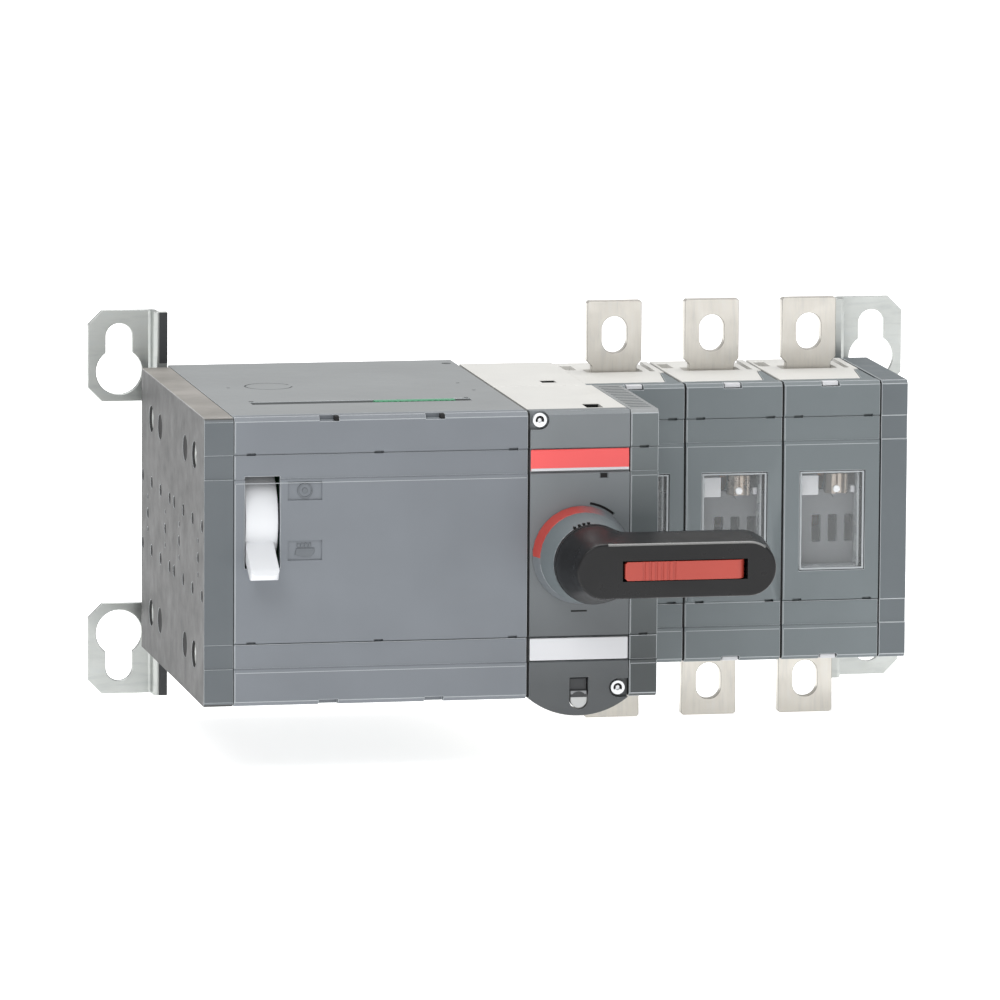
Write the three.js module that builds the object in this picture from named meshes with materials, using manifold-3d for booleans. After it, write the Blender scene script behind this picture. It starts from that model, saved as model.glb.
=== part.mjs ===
// A three-pole manual transfer switch with a motor operator, a rotary handle and a mounting frame.
// Millimetres, +Z up. X runs along the row of modules and Y from the front to the back. The origin is on
// the handle's axis, in the plane of the panel that the object is screwed to, so every piece has Y < 0.
import * as THREE from "three";
import { mergeVertices } from "three/addons/utils/BufferGeometryUtils.js";
import Module from "manifold-3d";

// Driving dimensions.
const GAP = 0.3; // between touching pieces
const WALL = 2; // moulded walls
const PITCH = 35; // pole to pole
const HALF = 49.5; // half the height of the operator and the mechanism
const POLE_HALF = 49; // half the height of a pole
const FRONT = -148; // face of the operator and the mechanism
const POLE_FRONT = -83; // face of the poles
const BACK = -9; // back of all modules
const SHEET = 2; // steel of the mounting brackets
const COVER = 6; // depth of a front cover's skirt
const PLATE = 2.5; // thickness of a front cover

// Spans along X, from left to right.
const LEFT_PLATE = [-130.1, -120.1];
const OPERATOR = [-119.8, -18.6];
const MECHANISM = [-17.7, 16.9];
const MECHANISM_REAR = [-17.7, 15.2];
const SIDE_COVER = [17.2, 26.9];
const RIGHT_PLATE = [120.7, 130.1];
const POLES = [0, 1, 2].map((i) => 33 + PITCH * i); // centres
const POLE_SIDE = 17.1; // half a pole's width

// Horizontal bands moulded into every front, and the rods that clamp the modules together.
const BAND = [28.3, 36.6];
const BAND_DEPTH = 0.4;
const ROD_R = 2.2;
const ROD_Z = 34.3;
const FRONT_ROD_Y = -127;
const REAR_ROD_Y = -36;
const HEAD_R = 4.2;

// Terminals and moving contacts.
const LUG = {
  front: -45.5,
  thick: 3.5,
  half: 9.75,
  neck: 8,
  shoulder: 51,
  tip: 74,
  slotR: 4.5,
  slotZ: 62,
};
const CONTACT_Y = LUG.front + LUG.thick / 2; // axis of the contact shaft
const JAW_Z = 18; // inner end of a terminal
const BLADE = { half: 29, wide: 10, thick: 3, open: THREE.MathUtils.degToRad(50) };
const SHAFT_SIDE = 8;

// Operator's drive: a pinion on the motor turns a wheel whose shaft enters the mechanism.
const MODULE = 1;
const PINION_TEETH = 12;
const WHEEL_TEETH = 36;
const MOTOR = { y: -55, z: -15, r: 18, x: [-106, -46] };
const WHEEL_Z = MOTOR.z + (MODULE * (PINION_TEETH + WHEEL_TEETH)) / 2 + 0.25;
const GEAR_X = [-41, -33];

// Handle, from the cover outwards, and its locking lever.
const RING = { back: FRONT - GAP, front: -154, r: [17, 15.5] };
const COLLAR = { back: RING.front - GAP, front: -168, r: [15.5, 13.5] };
const GRIP = { back: COLLAR.front - GAP, front: -188, half: 9, flare: 2.2, left: -9, right: 58.4, hubR: 13.6 };
const LOCK = { left: 7, pivot: 45, y: -184.7, r: 3.7, half: 3.2 };
const HANDLE_SHAFT = { r: 4, front: -176, back: -56 };

// Selector lever, which swings about a pin behind the operator's cover.
const SELECTOR = { x: [-115.8, -104.4], y: -129.5, z: 13.5, r: 17.5, reach: 33.4, tilt: 31.6 };
const SELECTOR_SLOT = { x: [-116.2, -104.0], z: [-2.2, 29.2] };

// Locking clip in the mechanism cover.
const CLIP = { x: [-3.2, 2.6], z: [-47.1, -43], tabR: 2.9, tabZ: -50.2 };

const wasm = await Module();
wasm.setup();

// A closed three.js geometry as a solid that can be joined and cut.
function solid(geometry) {
  const bare = geometry.index ? geometry.toNonIndexed() : geometry.clone();
  bare.deleteAttribute("normal");
  bare.deleteAttribute("uv");
  const merged = mergeVertices(bare, 1e-4);
  return new wasm.Manifold(
    new wasm.Mesh({
      numProp: 3,
      vertProperties: merged.attributes.position.array,
      triVerts: new Uint32Array(merged.index.array),
    }),
  );
}

const join = (first, ...rest) => rest.reduce((a, b) => a.add(b), first);
const cut = (first, ...rest) => rest.reduce((a, b) => a.subtract(b), first);

function box([x0, x1], [y0, y1], [z0, z1]) {
  const g = new THREE.BoxGeometry(x1 - x0, y1 - y0, z1 - z0);
  return solid(g.translate((x0 + x1) / 2, (y0 + y1) / 2, (z0 + z1) / 2));
}

// Where an outline's own x, y and depth point, for a prism along each axis.
const BASIS = {
  x: [new THREE.Vector3(0, 1, 0), new THREE.Vector3(0, 0, 1), new THREE.Vector3(1, 0, 0)],
  y: [new THREE.Vector3(1, 0, 0), new THREE.Vector3(0, 0, 1), new THREE.Vector3(0, -1, 0)],
  z: [new THREE.Vector3(1, 0, 0), new THREE.Vector3(0, 1, 0), new THREE.Vector3(0, 0, 1)],
};

// An outline pushed along an axis from one place to another: (y, z) for x, (x, z) for y, (x, y) for z.
function prism(axis, shape, [from, to], options = {}) {
  const g = new THREE.ExtrudeGeometry(shape, {
    depth: to - from - 2 * (options.bevelThickness ?? 0),
    bevelEnabled: false,
    curveSegments: 12,
    ...options,
  });
  g.translate(0, 0, options.bevelThickness ?? 0);
  g.applyMatrix4(new THREE.Matrix4().makeBasis(...BASIS[axis]));
  const start = axis === "y" ? to : from;
  g.translate(...["x", "y", "z"].map((name) => (name === axis ? start : 0)));
  return solid(g);
}

// A round bar along an axis, centred on the other two coordinates.
function bar(axis, r, [from, to], [a, b], segments = 20) {
  const g = new THREE.CylinderGeometry(r, r, to - from, segments);
  const mid = (from + to) / 2;
  if (axis === "x") g.rotateZ(-Math.PI / 2).translate(mid, a, b);
  if (axis === "y") g.translate(a, mid, b);
  if (axis === "z") g.rotateX(Math.PI / 2).translate(a, b, mid);
  return solid(g);
}

function outline(points) {
  return new THREE.Shape(points.map(([a, b]) => new THREE.Vector2(a, b)));
}

// A slot with round ends, upright, about a centre.
function obround(x, y, r, straight) {
  const s = new THREE.Shape();
  s.absarc(x, y + straight / 2, r, 0, Math.PI, false);
  s.absarc(x, y - straight / 2, r, Math.PI, 2 * Math.PI, false);
  return s;
}

// A ring turned about Y, from its section as [radius, y] points, listed so that its faces point out.
function turned(points, segments = 30) {
  const g = new THREE.LatheGeometry(points.map(([r, y]) => new THREE.Vector2(r, y)), segments);
  return solid(g);
}

const mirrorZ = (piece) => piece.mirror([0, 0, 1]);
const both = (piece) => [piece, mirrorZ(piece)];

const finish = (color, roughness, metalness) => new THREE.MeshStandardMaterial({ color, roughness, metalness });
const plastic = (color, roughness = 0.5) => finish(color, roughness, 0);
const metal = (color, roughness) => finish(color, roughness, 1);
const MATERIAL = {
  cover: plastic(0x6d757a),
  housing: plastic(0x85888a),
  base: plastic(0xdcdcd8),
  black: plastic(0x2b2b2d, 0.4),
  red: plastic(0xd1493f),
  label: plastic(0xe2514f, 0.35),
  white: plastic(0xeeeeec),
  green: plastic(0x3c9a68),
  board: plastic(0x27623f),
  glass: plastic(0xdfe6e8, 0.1),
  zinc: metal(0xb4b8b8, 0.4),
  tin: metal(0xdad6cc, 0.35),
  copper: metal(0xc98f6a, 0.35),
  steel: metal(0x9a9c9e, 0.35),
};

MATERIAL.glass.transparent = true;
MATERIAL.glass.opacity = 0.35;

const object = new THREE.Group();

// Turns a solid into a named mesh in a group.
function add(group, name, material, piece) {
  const made = piece.getMesh();
  const g = new THREE.BufferGeometry();
  g.setAttribute("position", new THREE.BufferAttribute(made.vertProperties, made.numProp));
  g.setIndex(new THREE.BufferAttribute(made.triVerts, 1));
  g.computeVertexNormals();
  const mesh = new THREE.Mesh(g, MATERIAL[material]);
  mesh.name = name;
  group.add(mesh);
}

// Shared details.

// The bands that cross a front face.
function bands([x0, x1], front, depth = BAND_DEPTH) {
  return both(box([x0 - 1, x1 + 1], [front - 1, front + depth], BAND));
}

// The holes of a pair of tie rods through any wall.
const rodHoles = (y, span) => both(bar("x", ROD_R + GAP, span, [y, ROD_Z], 10));

// A slab seen from the side, with its upper and lower front edges chamfered and a step at its back.
function sideOutline(front, back, half, chamfer, stepDepth = 0, stepHeight = 0) {
  const lower = [
    [front + chamfer, -half],
    [back - stepDepth, -half],
  ];
  if (stepDepth) lower.push([back - stepDepth, -half + stepHeight], [back, -half + stepHeight]);
  const upper = lower.map(([y, z]) => [y, -z]).reverse();
  return outline([[front, -half + chamfer], ...lower, ...upper, [front, half - chamfer]]);
}

// A front cover: a tray with a chamfered face, bands and notches in its upper and lower edges.
function frontCover(span, front, half, chamfer, notches) {
  const [x0, x1] = span;
  const tray = cut(
    prism("x", sideOutline(front, front + COVER, half, chamfer), span),
    box([x0 + WALL, x1 - WALL], [front + PLATE, front + COVER + 1], [-half + WALL, half - WALL]),
    ...bands(span, front),
  );
  const notch = (width) => both(box(width, [front - 1, front + PLATE + 1], [half - 1.8, half + 1]));
  return cut(tray, ...notches.flatMap(notch));
}

// Frame: end plates, mounting brackets and tie rods.

const HOLE_DEPTH = 8; // blind holes in the left end plate

function leftEndPlate() {
  const outer = prism("x", sideOutline(FRONT, -15, HALF, 1.5), LEFT_PLATE);
  const face = LEFT_PLATE[0];
  const blind = (r, y, z, deep, segments) => bar("x", r, [face - 1, face + deep], [y, z], segments);
  const cuts = [...bands(LEFT_PLATE, FRONT)];
  for (const y of [FRONT_ROD_Y, REAR_ROD_Y]) {
    cuts.push(...rodHoles(y, [face - 1, LEFT_PLATE[1] + 1]), ...both(blind(HEAD_R + 0.5, y, ROD_Z, 4, 16)));
  }
  for (const y of [-108, -55]) cuts.push(...both(blind(4.5, y, 34, HOLE_DEPTH, 14)));
  // Two rows of snap holes, in two runs of four.
  for (const start of [-17.6, -85.2]) {
    for (let k = 0; k < 4; k++) cuts.push(...both(blind(2.2, start - 19.35 * k, 12, HOLE_DEPTH, 8)));
  }
  for (const y of [-28.5, -66, -95.5, -135]) {
    cuts.push(blind(1.9, y, 0, HOLE_DEPTH, 8), ...both(blind(1, y, 5.8, HOLE_DEPTH, 6)));
  }
  return cut(outer, ...cuts);
}

function rightEndPlate() {
  const outer = prism("x", sideOutline(POLE_FRONT, BACK, POLE_HALF, 1.2, 12, 3), RIGHT_PLATE);
  const [x0, x1] = RIGHT_PLATE;
  const pockets = both(bar("x", HEAD_R + 0.8, [x1 - 5, x1 + 1], [REAR_ROD_Y, ROD_Z], 20));
  return cut(outer, ...pockets, ...rodHoles(REAR_ROD_Y, [x0 - 1, x1]), ...bands(RIGHT_PLATE, POLE_FRONT));
}

// A steel strip behind the left of the modules, bent back to the panel, with a keyhole tab at each end.
// It is wider behind the operator, where it is fastened, than beside the tabs.
function bracket() {
  const tab = { outer: -147.2, z: [36, 68.4], corner: 5, hole: -136.1 };
  const flange = -124.8;
  const narrow = -119.9;
  const inner = -111;
  const front = BACK + GAP;
  const section = outline([
    [tab.outer, -SHEET], [flange - 0.8, -SHEET], [flange, -SHEET - 0.8],
    [flange, front + 1.2], [flange + 1.2, front], [inner, front],
    [inner, front + SHEET], [flange + SHEET + 0.6, front + SHEET], [flange + SHEET, front + SHEET + 0.6],
    [flange + SHEET, -1.2], [flange + SHEET - 1.2, 0], [tab.outer, 0],
  ]);
  const [low, high] = tab.z;
  const deep = [-SHEET - 1, 1];
  const corner = (z, sign) => {
    const points = [
      [tab.outer - 1, z + sign], [tab.outer - 1, z - sign * tab.corner], [tab.outer, z - sign * tab.corner],
      [tab.outer + tab.corner, z], [tab.outer + tab.corner, z + sign],
    ];
    return prism("y", outline(sign > 0 ? points : points.reverse()), deep);
  };
  const keyhole = join(
    bar("y", 8.15, deep, [tab.hole, low + 10.6], 32),
    prism("y", obround(tab.hole, low + 17, 4.7, 12), deep, { curveSegments: 10 }),
  );
  return cut(
    prism("z", section, [-high, high]),
    box([tab.outer - 1, flange - 1.5], deep, [-low, low]),
    ...both(box([narrow, inner + 1], [front - 1, 0], [HALF - 4, high + 1])),
    ...both(keyhole),
    ...both(corner(high, 1)),
    ...both(corner(low, -1)),
  );
}

function tieRod(y, z, end) {
  const head = LEFT_PLATE[0] + 0.8;
  const recess = bar("x", 1.6, [head - 1, head + 1.6], [y, z], 6);
  return cut(
    join(bar("x", HEAD_R, [head, head + 3], [y, z], 20), bar("x", ROD_R, [head + 1, end], [y, z], 10)),
    recess,
  );
}

function nut(y, z, span) {
  return cut(bar("x", HEAD_R, span, [y, z], 6), bar("x", ROD_R + GAP, [span[0] - 1, span[1] + 1], [y, z], 10));
}

function addFrame() {
  add(object, "end_plate_left", "housing", leftEndPlate());
  add(object, "end_plate_right", "cover", rightEndPlate());
  const left = bracket();
  add(object, "mounting_bracket_left", "zinc", left);
  add(object, "mounting_bracket_right", "zinc", left.mirror([1, 0, 0]));
  const rods = [
    ["front_upper", FRONT_ROD_Y, ROD_Z, SIDE_COVER[1]],
    ["front_lower", FRONT_ROD_Y, -ROD_Z, SIDE_COVER[1]],
    ["rear_upper", REAR_ROD_Y, ROD_Z, RIGHT_PLATE[1]],
    ["rear_lower", REAR_ROD_Y, -ROD_Z, RIGHT_PLATE[1]],
  ];
  for (const [place, y, z, end] of rods) {
    add(object, "tie_rod_" + place, "zinc", tieRod(y, z, end - 0.6));
    add(object, "rod_nut_" + place, "zinc", nut(y, z, [end - 4.6, end - 1.2]));
  }
}

// Motor operator.

const TOP_SLOT = { x: [-108.1, -31.7], y: [-116.2, -110.2] };
const CONNECTOR = { x: [-65.5, -37.1], y: [-117, -104.5], z: [33, 46.5], top: 49.2 };

function operatorHousing() {
  const [x0, x1] = OPERATOR;
  const front = FRONT + COVER + GAP;
  const inside = [HALF - WALL, HALF + 1];
  return cut(
    box(OPERATOR, [front, BACK], [-HALF, HALF]),
    box([x0 + WALL, x1 - WALL], [front - 1, BACK - WALL], [-inside[0], inside[0]]),
    box(TOP_SLOT.x, TOP_SLOT.y, inside),
    ...rodHoles(FRONT_ROD_Y, [x0 - 1, x1 + 1]),
    ...rodHoles(REAR_ROD_Y, [x0 - 1, x1 + 1]),
    bar("x", 4.6, [x1 - WALL - 1, x1 + 1], [MOTOR.y, WHEEL_Z], 16),
  );
}

function operatorCover() {
  const cover = frontCover(OPERATOR, FRONT, HALF, 1.5, [[-90.5, -83.8], [-53.9, -47.3]]);
  const { x, z } = SELECTOR_SLOT;
  const cheek = (span) => box(span, [FRONT + PLATE - 0.5, SELECTOR.y + 4], [SELECTOR.z - 4, SELECTOR.z + 4]);
  const cheeks = join(cheek([x[0] - 1.2, x[0]]), cheek([x[1] + 0.4, x[1] + 2.4]));
  return cut(
    join(cover, cheeks),
    box(x, [FRONT - 1, FRONT + PLATE], z),
    bar("x", 1.8, [x[0] - 3, x[1] + 5], [SELECTOR.y, SELECTOR.z], 12),
  );
}

function selectorLever() {
  const tilt = THREE.MathUtils.degToRad(180 + SELECTOR.tilt);
  const along = (d, across) => [
    SELECTOR.y + d * Math.cos(tilt) - across * Math.sin(tilt),
    SELECTOR.z + d * Math.sin(tilt) + across * Math.cos(tilt),
  ];
  const { reach, x } = SELECTOR;
  const edge = [[4, 3], [reach - 1.5, 2.2], [reach, 0.9]];
  const mirrored = edge.map(([d, across]) => [d, -across]).reverse();
  const arm = outline([...edge, ...mirrored].map(([d, across]) => along(d, across)));
  const drum = bar("x", SELECTOR.r, x, [SELECTOR.y, SELECTOR.z], 40);
  // The drum is cut away behind, so that it clears the tie rods and the cover's cheeks as it swings.
  const tall = [SELECTOR.z - 20, SELECTOR.z + 20];
  const hollow = box([x[0] + 2, x[1] - 2], [SELECTOR.y + 3, SELECTOR.y + 20], tall);
  return cut(
    join(cut(drum, hollow), prism("x", arm, [x[0], x[0] + 10])),
    bar("x", 1.8, [x[0] - 1, x[1] + 1], [SELECTOR.y, SELECTOR.z], 12),
  );
}

// One straight-sided tooth: shares of the pitch from its middle, and heights in modules from the pitch line.
const TOOTH = [[-0.3, -1.2], [-0.12, 0.8], [0.12, 0.8], [0.3, -1.2]];

// A spur gear's outline, with room between the teeth.
function gearOutline(teeth, turn) {
  const pitchR = (MODULE * teeth) / 2;
  const points = [];
  for (let k = 0; k < teeth; k++) {
    for (const [share, height] of TOOTH) {
      const a = ((k + share) / teeth) * 2 * Math.PI + turn;
      const r = pitchR + height * MODULE;
      points.push([r * Math.cos(a), r * Math.sin(a)]);
    }
  }
  return outline(points);
}

function addOperator() {
  add(object, "operator_housing", "housing", operatorHousing());
  add(object, "operator_front_cover", "cover", operatorCover());
  const inSlot = TOP_SLOT.y.map((y, i) => y + (i ? -0.5 : 0.5));
  const socket = join(
    box(CONNECTOR.x, CONNECTOR.y, CONNECTOR.z),
    box(CONNECTOR.x, inSlot, [CONNECTOR.z[1] - 1, CONNECTOR.top]),
  );
  add(object, "control_connector", "green", socket);
  const boardY = CONNECTOR.y[1] + GAP;
  add(object, "circuit_board", "board", box([-110, -28], [boardY, boardY + 1.6], [-20, 45]));

  add(object, "selector_lever", "white", selectorLever());
  const pin = [SELECTOR_SLOT.x[0] - 1.2, SELECTOR_SLOT.x[1] + 2.4];
  add(object, "selector_pin", "steel", bar("x", 1.5, pin, [SELECTOR.y, SELECTOR.z], 12));

  const { x, r } = MOTOR;
  const stub = [x[1], GEAR_X[1] + 1];
  add(object, "drive_motor", "steel", join(
    bar("x", r, x, [MOTOR.y, MOTOR.z], 28),
    bar("x", r - 6, [x[1] - 1, x[1] + 2], [MOTOR.y, MOTOR.z], 20),
    bar("x", 2, stub, [MOTOR.y, MOTOR.z], 12),
  ));

  // Both gears turn about their own groups' X axes. A tooth of the wheel points down into a gap of the pinion.
  const pinion = new THREE.Group();
  pinion.position.set(0, MOTOR.y, MOTOR.z);
  object.add(pinion);
  const pinionTurn = Math.PI / 2 + Math.PI / PINION_TEETH;
  add(pinion, "motor_pinion", "steel", cut(
    prism("x", gearOutline(PINION_TEETH, pinionTurn), GEAR_X),
    bar("x", 2 + GAP, [GEAR_X[0] - 1, GEAR_X[1] + 1], [0, 0], 12),
  ));

  const wheel = new THREE.Group();
  wheel.position.set(0, MOTOR.y, WHEEL_Z);
  object.add(wheel);
  add(wheel, "gear_wheel", "white", join(
    prism("x", gearOutline(WHEEL_TEETH, -Math.PI / 2), GEAR_X),
    bar("x", 4, [GEAR_X[0] - 2, MECHANISM[0] + 6], [0, 0], 16),
  ));
}

// Switching mechanism.

const SCREWS = { upper: [-14.4, 46.5], lower: [13.4, -46.3] };
const SCREW_R = 2.45;
const OPEN_TOP = [HALF - WALL - 1, HALF + 1];

function mechanismFrontHousing() {
  const [x0, x1] = MECHANISM;
  const front = FRONT + COVER + GAP;
  const back = POLE_FRONT - GAP;
  const shell = cut(
    box(MECHANISM, [front, back], [-HALF, HALF]),
    box([x0 + WALL, x1 - WALL], [front - 1, back - WALL], [-HALF + WALL, HALF - WALL]),
  );
  const boss = ([x, z]) => box([x - 2.8, x + 2.8], [front, front + 12], [z - 2.6, z + 2.6]);
  return cut(
    join(shell, boss(SCREWS.upper), boss(SCREWS.lower)),
    ...Object.values(SCREWS).map((at) => bar("y", 1.6, [front - 1, front + 9], at, 10)),
    bar("y", HANDLE_SHAFT.r + 1, [back - WALL - 1, back + 1], [0, 0], 20),
    ...rodHoles(FRONT_ROD_Y, [x0 - 1, x1 + 1]),
    box([3.4, 9.2], [FRONT + 7.5, FRONT + 17], OPEN_TOP),
  );
}

function mechanismRearHousing() {
  const [x0, x1] = MECHANISM_REAR;
  const front = POLE_FRONT;
  return cut(
    prism("x", sideOutline(front, BACK, HALF, 0.6, 12, 3.5), MECHANISM_REAR),
    box([x0 + WALL, x1 - WALL], [front + WALL, BACK - WALL], [-HALF + 6, HALF - 6]),
    bar("y", HANDLE_SHAFT.r + 1, [front - 1, front + WALL + 1], [0, 0], 20),
    bar("x", 4.6, [x0 - 1, x0 + WALL + 1], [MOTOR.y, WHEEL_Z], 16),
    bar("x", 6.4, [x1 - WALL - 1, x1 + 1], [CONTACT_Y, 0], 20),
    ...rodHoles(REAR_ROD_Y, [x0 - 1, x1 + 1]),
    box([1.3, 6.5], [front + 8, front + 14], [HALF - 4, HALF + 1]),
  );
}

// The front cover ends below in a shallow arc, with a round-ended opening for the locking clip.
function mechanismCover() {
  const [x0, x1] = MECHANISM;
  const mid = (x0 + x1) / 2;
  const drop = 6.1; // of the arc below the housing
  const half = (x1 - x0) / 2;
  const r = (half * half + drop * drop) / (2 * drop);
  const sweep = Math.asin(half / r);
  const tongue = new THREE.Shape();
  tongue.moveTo(x1, -HALF + 4);
  tongue.lineTo(x0, -HALF + 4);
  tongue.absarc(mid, -HALF - drop + r, r, -Math.PI / 2 - sweep, -Math.PI / 2 + sweep, false);
  const opening = join(
    box([-3.6, 3.0], [FRONT - 1, FRONT + COVER + 1], [CLIP.tabZ, -42.4]),
    bar("y", 3.3, [FRONT - 1, FRONT + COVER + 1], [-0.3, CLIP.tabZ], 24),
  );
  // A round seat for a screw head, open to the nearer side.
  const seat = ([x, z]) => {
    const r = SCREW_R + 0.8;
    const depth = [FRONT - 1, FRONT + 2];
    const side = x < mid ? [x0 - 1, x] : [x, x1 + 1];
    return join(bar("y", r, depth, [x, z], 28), box(side, depth, [z - r, z + r]));
  };
  const screwHole = (at) => bar("y", 1.6, [FRONT, FRONT + COVER + 1], at, 10);
  const boss = ([x, z]) => box([x - 2.6, x + 2.6], [FRONT + 2, FRONT + COVER], [z - 2.6, z + 2.6]);
  const tray = frontCover(MECHANISM, FRONT, HALF, 1.2, []);
  const lower = prism("y", tongue, [FRONT, FRONT + 5]);
  const solidPart = join(tray, lower, boss(SCREWS.upper), boss(SCREWS.lower));
  return cut(
    solidPart,
    opening,
    ...Object.values(SCREWS).flatMap((at) => [seat(at), screwHole(at)]),
    ...bands(MECHANISM, FRONT, 1),
    bar("y", HANDLE_SHAFT.r + 1, [FRONT - 1, FRONT + COVER], [0, 0], 24),
    box([6.4, 9.5], [FRONT - 1, FRONT + 0.5], [26.2, 28.2]),
  );
}

function sideCover() {
  const [x0, x1] = SIDE_COVER;
  const body = prism("x", sideOutline(FRONT, POLE_FRONT - 2 * GAP, HALF, 1.2), SIDE_COVER);
  const pockets = both(bar("x", HEAD_R + 0.8, [x1 - 5, x1 + 1], [FRONT_ROD_Y, ROD_Z], 20));
  return cut(body, ...pockets, ...rodHoles(FRONT_ROD_Y, [x0 - 1, x1]), ...bands(SIDE_COVER, FRONT));
}

function lockingClip() {
  const body = box(CLIP.x, [FRONT + 0.6, FRONT + 18], CLIP.z);
  const mid = (CLIP.x[0] + CLIP.x[1]) / 2;
  const stem = box(CLIP.x, [FRONT + 0.6, FRONT + 2.4], [CLIP.tabZ, CLIP.z[0] + 1]);
  const tab = bar("y", CLIP.tabR, [FRONT + 0.4, FRONT + 2.4], [mid, CLIP.tabZ], 20);
  const eye = box([CLIP.x[0] - 1, CLIP.x[1] + 1], [FRONT + 3, FRONT + 9], [CLIP.z[0] + 0.9, CLIP.z[1] - 0.9]);
  return cut(join(body, stem, tab), eye);
}

function coverScrew([x, z]) {
  const head = FRONT + 0.4;
  return cut(
    join(bar("y", SCREW_R, [head, head + 1.3], [x, z], 20), bar("y", 1.3, [head + 1, head + 12], [x, z], 10)),
    bar("y", 1, [head - 1, head + 0.8], [x, z], 6),
  );
}

function addMechanism() {
  add(object, "mechanism_front_housing", "base", mechanismFrontHousing());
  add(object, "mechanism_rear_housing", "base", mechanismRearHousing());
  add(object, "mechanism_cover", "cover", mechanismCover());
  add(object, "mechanism_side_cover", "housing", sideCover());
  const inBand = (z) => box([MECHANISM[0] + 0.2, MECHANISM[1] - 0.2], [FRONT, FRONT + 0.7], z);
  add(object, "stripe_label", "label", inBand([29, 36.4]));
  add(object, "marking_plate", "white", inBand([-36.3, -28.6]));
  add(object, "cover_screw_upper", "zinc", coverScrew(SCREWS.upper));
  add(object, "cover_screw_lower", "zinc", coverScrew(SCREWS.lower));
  add(object, "locking_clip", "white", lockingClip());
}

// Handle, turned about Y through the origin.

function handleGrip() {
  const { left, right, half, flare, front, hubR } = GRIP;
  const s = new THREE.Shape();
  s.absarc(right - half, 0, half, -Math.PI / 2, Math.PI / 2, false);
  s.absarc(left + half, 0, half, Math.PI / 2, (3 * Math.PI) / 2, false);
  const bevel = { bevelEnabled: true, bevelThickness: 3, bevelSize: flare, bevelSegments: 1, curveSegments: 9 };
  const body = prism("y", s, [front, front + 17], bevel);
  const hub = turned([[0, front + 10], [hubR, front + 13], [hubR, GRIP.back], [0, GRIP.back]], 32);
  const slot = [LOCK.left - 0.4, LOCK.pivot + LOCK.r + 0.4];
  const floor = LOCK.y + LOCK.r + 0.5;
  return cut(
    join(body, hub),
    box(slot, [front - 1, floor], [-LOCK.half - GAP, LOCK.half + GAP]),
    bar("z", 1.3, [-7.5, 7.5], [LOCK.pivot, LOCK.y], 12),
    bar("y", HANDLE_SHAFT.r + GAP, [HANDLE_SHAFT.front - GAP, GRIP.back + 1], [0, 0], 20),
  );
}

function lockLever() {
  const s = new THREE.Shape();
  s.moveTo(LOCK.left, LOCK.y + LOCK.r);
  s.lineTo(LOCK.left, LOCK.y - LOCK.r);
  s.absarc(LOCK.pivot, LOCK.y, LOCK.r, -Math.PI / 2, Math.PI / 2, false);
  const span = [-LOCK.half, LOCK.half];
  return cut(
    prism("z", s, span, { curveSegments: 10 }),
    bar("z", 1.4, [span[0] - 1, span[1] + 1], [LOCK.pivot, LOCK.y], 12),
  );
}

function addHandle() {
  const ringBore = 8;
  add(object, "handle_base_ring", "red", turned([
    [ringBore, RING.front], [RING.r[1], RING.front], [RING.r[0], RING.back], [ringBore, RING.back],
    [ringBore, RING.front],
  ]));
  const collarBore = HANDLE_SHAFT.r + GAP;
  add(object, "handle_collar", "housing", turned([
    [collarBore, COLLAR.front], [COLLAR.r[1], COLLAR.front], [COLLAR.r[0], COLLAR.back - 2],
    [COLLAR.r[0], COLLAR.back], [collarBore, COLLAR.back], [collarBore, COLLAR.front],
  ]));
  add(object, "handle_grip", "black", handleGrip());
  const shaft = bar("y", HANDLE_SHAFT.r, [HANDLE_SHAFT.front, HANDLE_SHAFT.back], [0, 0], 20);
  add(object, "handle_shaft", "steel", shaft);
  add(object, "handle_lock_lever", "red", lockLever());
  add(object, "handle_lock_pin", "steel", bar("z", 1, [-7.3, 7.3], [LOCK.pivot, LOCK.y], 12));
}

// Poles, each modelled about its own centre line.

const WINDOW = { x: [-11.5, 12], half: 17.6 };

// The tongue of a pole's cover that tapers back along its upper right edge, and the room for it.
function tongue(clear) {
  const front = POLE_FRONT + 3;
  const back = POLE_FRONT + 33 + clear;
  const shape = outline([[11.5 - clear, front], [POLE_SIDE, front], [POLE_SIDE, back], [15.7 - clear, back]]);
  return both(prism("z", shape, [POLE_HALF - WALL - clear, POLE_HALF - 0.3 + 2 * clear]));
}

function poleHousing() {
  const front = POLE_FRONT + COVER + 1.3;
  const s = POLE_SIDE;
  const top = [POLE_HALF - 3, POLE_HALF + 1];
  const slot = [LUG.front - GAP, LUG.front + LUG.thick + GAP];
  const cuts = [
    box([-s + WALL, s - WALL], [front - 1, BACK - WALL], [-POLE_HALF + 5, POLE_HALF - 5]),
    bar("x", 6.4, [-s - 1, s + 1], [CONTACT_Y, 0], 20),
    ...rodHoles(REAR_ROD_Y, [-s - 1, s + 1]),
    ...both(box([-LUG.neck - GAP, LUG.neck + GAP], slot, [JAW_Z, POLE_HALF + 1])),
    ...both(box([-LUG.neck - 2, LUG.neck + 2], [slot[0] - 1.5, slot[1] + 3], top)),
    ...both(box([-16.2, -12.4], [-40, -28], top)),
    ...both(box([12.6, 14.4], [-47, -20], top)),
    ...tongue(GAP),
  ];
  return cut(prism("x", sideOutline(front, BACK, POLE_HALF, 0.4, 12, 3), [-s, s]), ...cuts);
}

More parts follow.
